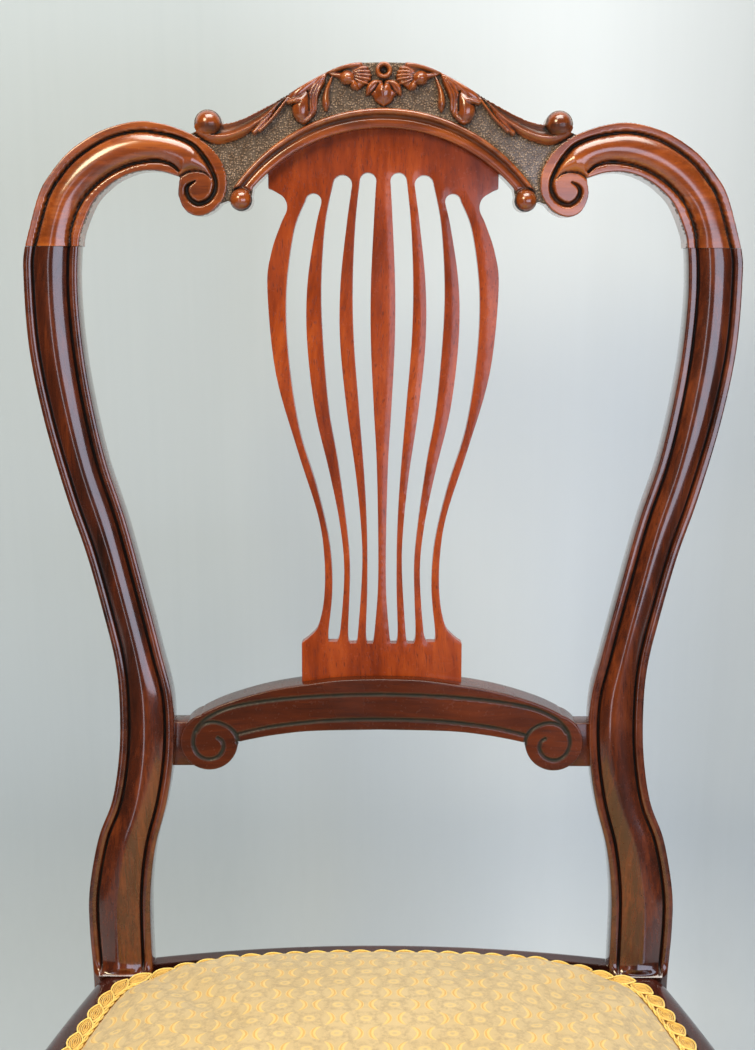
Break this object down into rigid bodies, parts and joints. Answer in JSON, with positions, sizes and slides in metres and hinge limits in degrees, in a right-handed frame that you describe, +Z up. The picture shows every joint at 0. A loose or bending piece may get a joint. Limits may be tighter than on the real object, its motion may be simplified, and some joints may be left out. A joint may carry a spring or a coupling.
{
  "type": "balloon back dining chair",
  "caption": "Balloon back wooden dining chair with a scrolled and carved crest, a slotted splat, an arched middle rail and a stuffed seat edged with braid.",
  "frame": {"origin": "on the floor below the middle of the chair's overall width and depth", "axes": "+Z up, the front of the seat towards -Y, +X to the right of a viewer in front"},
  "size_m": [0.4724, 0.5276, 0.9344],
  "materials": {
    "mahogany": "dark french polish, worn at the edges",
    "crest_wood": "orange brown french polish, worn and chipped",
    "splat_wood": "red brown french polish with straight grain",
    "beech": "bare wood",
    "screw_brass": "dull",
    "tack_steel": "blued",
    "webbing": "woven jute",
    "hessian": "coarse weave",
    "stuffing": "curled hair and wadding",
    "seat_fabric": "figured beige and gold damask",
    "gimp": "looped gold cord"
  },
  "bodies": {
    "root": {"crest_rail": "crest_wood", "left_back_post": "mahogany", "right_back_post": "mahogany", "splat": "splat_wood", "mid_rail": "mahogany", "back_seat_rail": "mahogany", "front_seat_rail": "mahogany", "left_seat_rail": "mahogany", "right_seat_rail": "mahogany", "left_front_leg": "mahogany", "right_front_leg": "mahogany", "back_left_corner_block": "beech", "back_right_corner_block": "beech", "front_left_corner_block": "beech", "front_right_corner_block": "beech", "corner_block_screws": "screw_brass", "crest_dowels": "beech", "seat_rail_dowels": "beech", "webbing_lengthwise": "webbing", "webbing_crosswise": "webbing", "webbing_tacks": "tack_steel", "hessian": "hessian", "seat_stuffing": "stuffing", "seat_cover": "seat_fabric", "gimp_braid": "gimp"}
  },
  "joints": []
}
